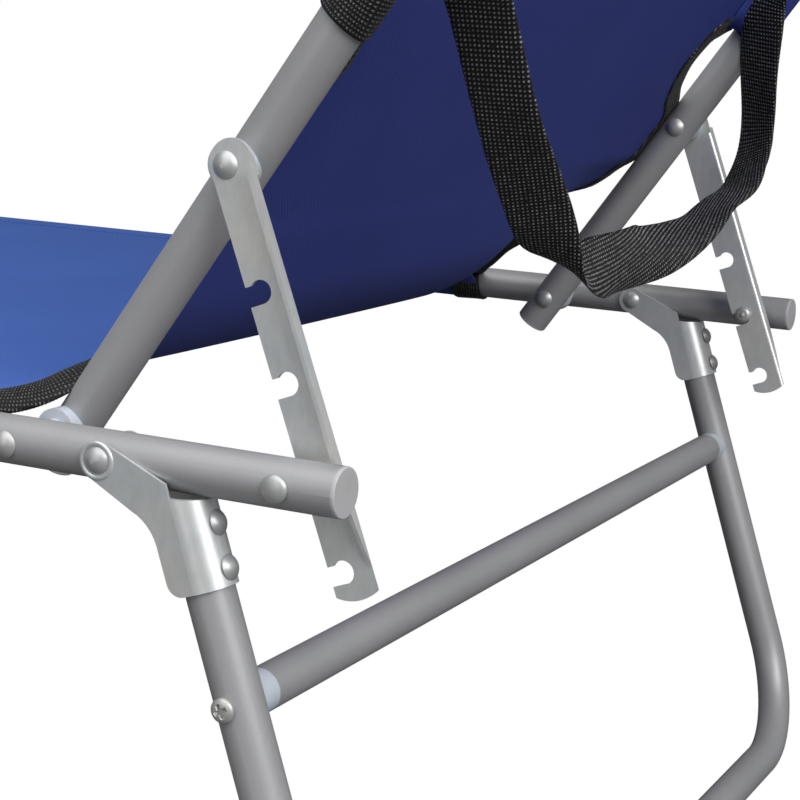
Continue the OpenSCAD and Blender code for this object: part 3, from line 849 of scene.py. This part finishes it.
def stitches(name, place_at, length):
    """A row of thread stitches: place_at gives a point, the cloth's run and its top side."""
    points, faces = [], []
    for lift in (0.0001, -CLOTH - 0.0001):
        for k in range(int(length / STITCH_PITCH)):
            centre, ahead, up = place_at((k + 0.5) * STITCH_PITCH)
            side = ahead.cross(up)
            first = len(points)
            for along, size in ((-0.5, 0.3), (-0.3, 1.0), (0.3, 1.0), (0.5, 0.3)):
                for turn in range(6):
                    angle = 2 * math.pi * turn / 6
                    points.append(centre + ahead * (along * STITCH_LEN) + up * lift
                                  + (side * math.cos(angle) + up * math.sin(angle)) * (STITCH_R * size))
            for ring in range(3):
                for turn in range(6):
                    a, b = first + ring * 6 + turn, first + ring * 6 + (turn + 1) % 6
                    faces.append((a, b, b + 6, a + 6))
            faces.append(tuple(first + turn for turn in reversed(range(6))))
            faces.append(tuple(first + 18 + turn for turn in range(6)))
    return piece(name, points, faces, [THREAD])


SEAM_IN = 0.021


def sling_seam(side, low, high, tube_x, tag):
    """Stitches along a side sleeve, where its flap is sewn to the flat cloth."""
    def place_at(run):
        v, x = low + run, side * (tube_x - SEAM_IN)
        ahead = (sling_point(v + 0.001, x) - sling_point(v - 0.001, x)).normalized()
        return sling_point(v, x), ahead, sling_normal(v, x)
    return stitches(f"{tag}_seam_{hand(side)}", place_at, high - low)


def cross_seam(name, point_at, half, up):
    """Stitches across the cloth, between its sleeves."""
    def place_at(run):
        x = run - half
        ahead = (point_at(x + 0.001) - point_at(x - 0.001)).normalized()
        return point_at(x), ahead, up
    return stitches(name, place_at, 2 * half)


# Foot section: one sheet from the seam at the knee to the foot end.
FOOT_EDGE = [(0.0, 0.282), (0.020, 0.268), (0.062, 0.238), (0.100, 0.235), (0.138, 0.240), (0.162, 0.268),
             (0.170, 0.282)]
FOOT_TAIL = [(0.0, 0.282), (0.012, 0.266), (0.030, 0.262), (1.0, 0.262)]


def foot_frame_at(v):
    return Vector((0, KNEE_SEAM - v, RAIL_Z)), Vector((0, 0, 1))


def foot_width(v, side=1):
    if v < KNEE_SEAM - FOOT_SLEEVE:
        return curve_through(FOOT_EDGE, v)
    if KNEE_SEAM - v < FOOT_SLEEVE_END:
        return curve_through(FOOT_TAIL, FOOT_SLEEVE_END - (KNEE_SEAM - v))
    return RAIL_X


def foot_height(v, x):
    return SLEEVE_R - SEAT_SAG * (1 - min(1.0, abs(x) / RAIL_X) ** 3)


def foot_point(v, x):
    base, up = foot_frame_at(v)
    return base + Vector((x, 0, 0)) + up * foot_height(v, x)


def make_foot_sling():
    turn, end, tail = KNEE_SEAM - FOOT_SLEEVE, KNEE_SEAM - FOOT_SLEEVE_END, KNEE_SEAM - FOOT_END
    stations = (spread_steps(0, turn, 0.005) + spread_steps(turn, end, 0.012)[1:]
                + spread_steps(end, tail, 0.004)[1:])
    sleeved = lambda v: turn - 1e-9 <= v <= end + 1e-9
    grid, weave = sling_rows(stations, foot_width, foot_frame_at, foot_height, sleeved, lambda v: RAIL_X)
    # The stations run towards -Y here, so each row is turned round to keep the top side up.
    grid = [row[::-1] for row in grid]
    weave = [row[::-1] for row in weave]
    return sheet_piece("foot_sling", grid, weave, MATERIALS["seat_cloth"], MATERIALS["back_cloth"])


def foot_binding(side, low, high, tag):
    stations = spread_steps(low, high, TAPE_RIB / 3)

    def at(i, inset=0.0):
        v = stations[i]
        slope = (foot_width(v + 0.001) - foot_width(v - 0.001)) / 0.002
        length = math.hypot(1, slope)
        return foot_point(v + inset * slope / length, side * (foot_width(v) - inset / length))

    def inward(i):
        return lambda inset: (at(i, max(inset, 0.0)) - at(i)
                              + (at(i) - at(i, 0.002)) * (max(-inset, 0.0) / 0.002))

    up = Vector((0, 0, 1))
    name = f"{tag}_binding_{hand(side)}"
    return binding(name, len(stations), lambda i: at(i) - up * CLOTH / 2, inward, lambda i: up)


def make_cloth():
    sling = make_sling()
    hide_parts("seat_fabric", "fold_fabric", "back_fabric")
    on_sling, on_foot = [], []
    up = Vector((0, 0, 1))
    for side in (-1, 1):
        on_sling.append(sling_binding(side))
        out = Vector((side, 0, 0))
        ahead, behind = Vector((0, 1, 0)), Vector((0, -1, 0))
        for tag, place, way, front in (
                ("rail", sling_frame(SEAT_SLEEVE_END)[0] + out * RAIL_X, behind, up),
                ("knee", Vector((0, KNEE_SEAM, RAIL_Z)) + out * RAIL_X, ahead, up),
                ("back", sling_frame(BACK_SLEEVE_START)[0] + out * BACK_X, UP_BACK, BACK_FRONT),
                ("top", sling_frame(SLING_END)[0] + out * BACK_X, -UP_BACK, BACK_FRONT)):
            on_sling.append(sleeve_mouth(f"{tag}_sleeve_mouth_{hand(side)}", place, way, front, out))
        for tag, y, way in (("foot_sleeve", FOOT_SLEEVE, behind), ("foot_end", FOOT_SLEEVE_END, ahead)):
            place = Vector((0, y, RAIL_Z)) + out * RAIL_X
            on_foot.append(sleeve_mouth(f"{tag}_mouth_{hand(side)}", place, way, up, out))
        knee = foot_binding(side, 0.0, KNEE_SEAM - FOOT_SLEEVE, "knee")
        tail = foot_binding(side, KNEE_SEAM - FOOT_SLEEVE_END, KNEE_SEAM - FOOT_END, "foot_end")
        on_foot += [knee, tail]
    shares = [k / 20 - 1 for k in range(41)]
    top_line = [sling_point(SLING_END, BACK_X * share) for share in shares]
    for side in (-1, 1):
        on_sling.append(sling_seam(side, SLING_START + 0.004, SEAT_SLEEVE_END, RAIL_X, "seat"))
        on_sling.append(sling_seam(side, BACK_SLEEVE_START, SLING_END - 0.004, BACK_X, "back"))
    for row, inset in enumerate((0.004, 0.009)):
        on_sling.append(cross_seam(
            f"knee_seam_{row + 1}", lambda x: sling_point(SLING_START + inset, x), 0.258, up))
    on_sling.append(straight_band("top_hem_tape", top_line, UP_BACK, 0.020, 0.0022))
    foot_line = [foot_point(KNEE_SEAM - FOOT_END, foot_width(KNEE_SEAM - FOOT_END) * share) - up * 0.0004
                 for share in shares]
    on_foot.append(straight_band("foot_hem_tape", foot_line, Vector((0, 1, 0)), 0.020, 0.0022))
    turn, end = KNEE_SEAM - FOOT_SLEEVE, KNEE_SEAM - FOOT_SLEEVE_END
    for side in (-1, 1):
        on_foot.append(stitches(
            f"foot_seam_{hand(side)}",
            lambda run: (foot_point(turn + run, side * (RAIL_X - SEAM_IN)), Vector((0, -1, 0)), up),
            end - turn))
    foot = make_foot_sling()
    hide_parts("foot_fabric")
    for made in on_sling:
        "seat_cloth" if "_seam_" in made.name else "webbing"
        blend_sling(made)
    blend_sling(sling)
    for made in (foot, *on_foot):
        if made is not foot:
            "seat_cloth" if "_seam_" in made.name else "webbing"
        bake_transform(made)


make_cloth()


# ---------------------------------------------------------------- pins, screws and pressed rims


def lathe(name, base, axis, profile, material, turns=48):
    """A turned part: profile holds (distance along the axis, radius) from one end to the other."""
    axis = axis.normalized()
    first = axis.orthogonal().normalized()
    second = axis.cross(first)
    points, rows = [], []
    for along, radius in profile:
        rows.append(list(range(len(points), len(points) + turns)))
        for k in range(turns):
            angle = 2 * math.pi * k / turns
            spoke = first * math.cos(angle) + second * math.sin(angle)
            points.append(base + axis * along + spoke * radius)
    return piece(name, points, strip(rows, closed=True), [material])


def joined(name, parts, node_name, body):
    """One piece made of several, which takes a CAD node's place on its body."""
    with bpy.context.temp_override(active_object=parts[0], selected_editable_objects=parts):
        bpy.ops.object.join()
    made = parts[0]
    made.name = name
    if node_name:
        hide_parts(node_name)
    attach(made, body)
    return made


def make_pins():
    """Adjuster pins with a domed head outside the rail and a turned-over head behind the bar."""
    low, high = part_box("adjuster_pins")
    z = (low[2] + high[2]) / 2
    bar_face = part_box("adjuster_bar_left")[0][0]
    face = RAIL_X + TUBE_R
    profile = [(bar_face - 0.0030, 0.0), (bar_face - 0.0029, 0.0012), (bar_face - 0.0024, 0.0016),
               (bar_face - 0.0026, 0.0024), (bar_face - 0.0022, 0.0037), (bar_face - 0.0012, 0.0046),
               (bar_face - 0.0003, 0.0047), (bar_face - 0.0002, 0.0030), (face, 0.0030),
               (face + 0.00005, 0.0053), (face + 0.0006, 0.0053), (face + 0.0013, 0.0048),
               (face + 0.0020, 0.0037),
               (face + 0.0025, 0.0020), (face + 0.0026, 0.0)]
    parts = [lathe("pin", Vector((0, PIN_Y, z)), Vector((side, 0, 0)), profile, MATERIALS["bright_steel"])
             for side in (1, -1)]
    joined("adjuster_pins_full", parts, "adjuster_pins", "seat")


SCREW_R = 0.0048
SCREW_H = 0.0028
SCREW_STEM_R = 0.0024
SCREW_TURN = 0.5


def screw_head(base, side):
    """A pan head with a cross recess, and its shank inside the tube."""
    turns, rings = 96, 30
    c, s = math.cos(SCREW_TURN), math.sin(SCREW_TURN)
    points, rows = [], []
    for i in range(rings + 1):
        radius = SCREW_R * i / rings
        row = []
        for k in range(turns):
            angle = 2 * math.pi * k / turns
            u, v = radius * math.cos(angle), radius * math.sin(angle)
            rim = (radius / SCREW_R) ** 5
            height = SCREW_H * (1 - 0.10 * (radius / SCREW_R) ** 2) - 0.0013 * rim
            arms = max(smooth_step((0.00085 - abs(a)) / 0.0003) * smooth_step((0.0029 - abs(b)) / 0.0005)
                       for a, b in ((u, v), (v, u)))
            height -= 0.0015 * arms
            row.append(len(points))
            turned = Vector((0, u * c - v * s, u * s + v * c))
            points.append(base + Vector((side * height, 0, 0)) + turned)
        rows.append(row)
    for height, radius in ((0.0006, SCREW_R), (0.0, SCREW_R), (0.0, SCREW_STEM_R),
                           (-0.016, SCREW_STEM_R), (-0.016, 0.0)):
        row = []
        for k in range(turns):
            angle = 2 * math.pi * k / turns + SCREW_TURN
            row.append(len(points))
            rim_point = Vector((side * height, radius * math.cos(angle), radius * math.sin(angle)))
            points.append(base + rim_point)
        rows.append(row)
    return piece("screw", points, strip(rows, closed=True), [MATERIALS["bright_steel"]])


def bracket_rim(centre, side):
    """The pressed rim round a bracket's eye."""
    points, rows = [], []
    for k in range(72):
        angle = 2 * math.pi * k / 72
        out = Vector((0, math.cos(angle), math.sin(angle)))
        row = []
        for i in range(10):
            turn = 2 * math.pi * i / 10
            row.append(len(points))
            points.append(centre + out * (0.0065 + 0.0010 * math.cos(turn))
                          + Vector((side * 0.0006 * math.sin(turn), 0, 0)))
        rows.append(row)
    return piece("rim", points, strip([*rows, rows[0]], closed=True), [MATERIALS["zinc_plate"]])


def make_leg_trim():
    for leg in ("rear", "mid", "front"):
        low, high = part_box(f"{leg}_crossbar_screws")
        y, z = (low[1] + high[1]) / 2, (low[2] + high[2]) / 2
        heads = [screw_head(Vector((side * (high[0] - SCREW_H), y, z)), side) for side in (1, -1)]
        joined(f"{leg}_cross_head_screws", heads, f"{leg}_crossbar_screws", f"{leg}_leg")
        pivot = Vector(joints[f"{leg}_leg_fold"]["pos_m"])
        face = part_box(f"{leg}_leg_brackets")[1][0]
        rims = [bracket_rim(Vector((side * face, pivot.y, pivot.z)), side) for side in (1, -1)]
        joined(f"{leg}_bracket_rims", rims, None, f"{leg}_leg")


make_pins()
make_leg_trim()


# ---------------------------------------------------------------- CAD nodes keep their shape

slots = {part["node"]: part["material_slot"] for part in frame["record"]["subparts"]}
for name, part in frame["nodes"].items():
    for slot in part.material_slots:
        slot.material = MATERIALS[slots[name]]

bpy.context.scene.view_settings.view_transform = "Standard"
